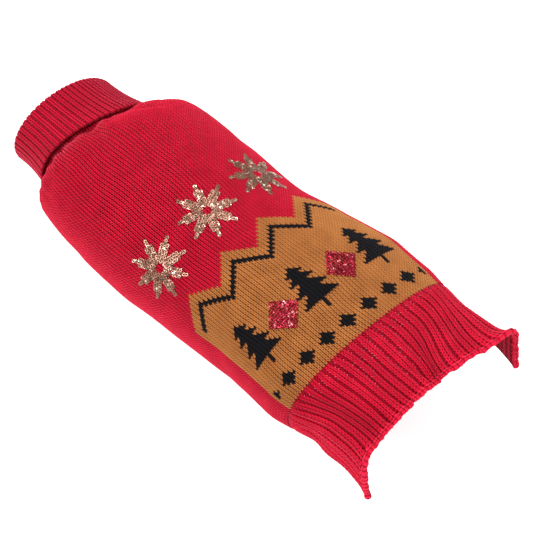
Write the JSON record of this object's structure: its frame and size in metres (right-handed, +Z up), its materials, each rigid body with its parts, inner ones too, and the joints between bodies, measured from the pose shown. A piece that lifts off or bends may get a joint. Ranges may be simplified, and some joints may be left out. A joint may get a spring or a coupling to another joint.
{
  "type": "dog sweater",
  "caption": "Knitted dog sweater in its filled-out form: hollow body, turned-down rib collar, long rib at the back hem with hanging corners, leg openings below.",
  "frame": {"origin": "inside face of the back, on its middle line, 165 mm from the middle of the neck, where the wearer's back carries the sweater", "axes": "+X from neck to hem, +Y to the wearer's right, +Z up, the wearer standing"},
  "size_m": [0.452, 0.1824, 0.1347],
  "materials": {
    "plain_knit": "stockinette of red acrylic yarn, with an ochre and black inlaid design",
    "rib_knit": "ribbing of red acrylic yarn with a thin glitter thread",
    "sequins": "shiny cup sequins, rose gold and red"
  },
  "bodies": {
    "root": {"back_panel": "plain_knit", "back_hem_rib": "rib_knit", "belly_panel": "plain_knit", "belly_hem_rib": "rib_knit", "collar": "rib_knit", "leg_band_left": "rib_knit", "leg_band_right": "rib_knit"}
  },
  "joints": []
}
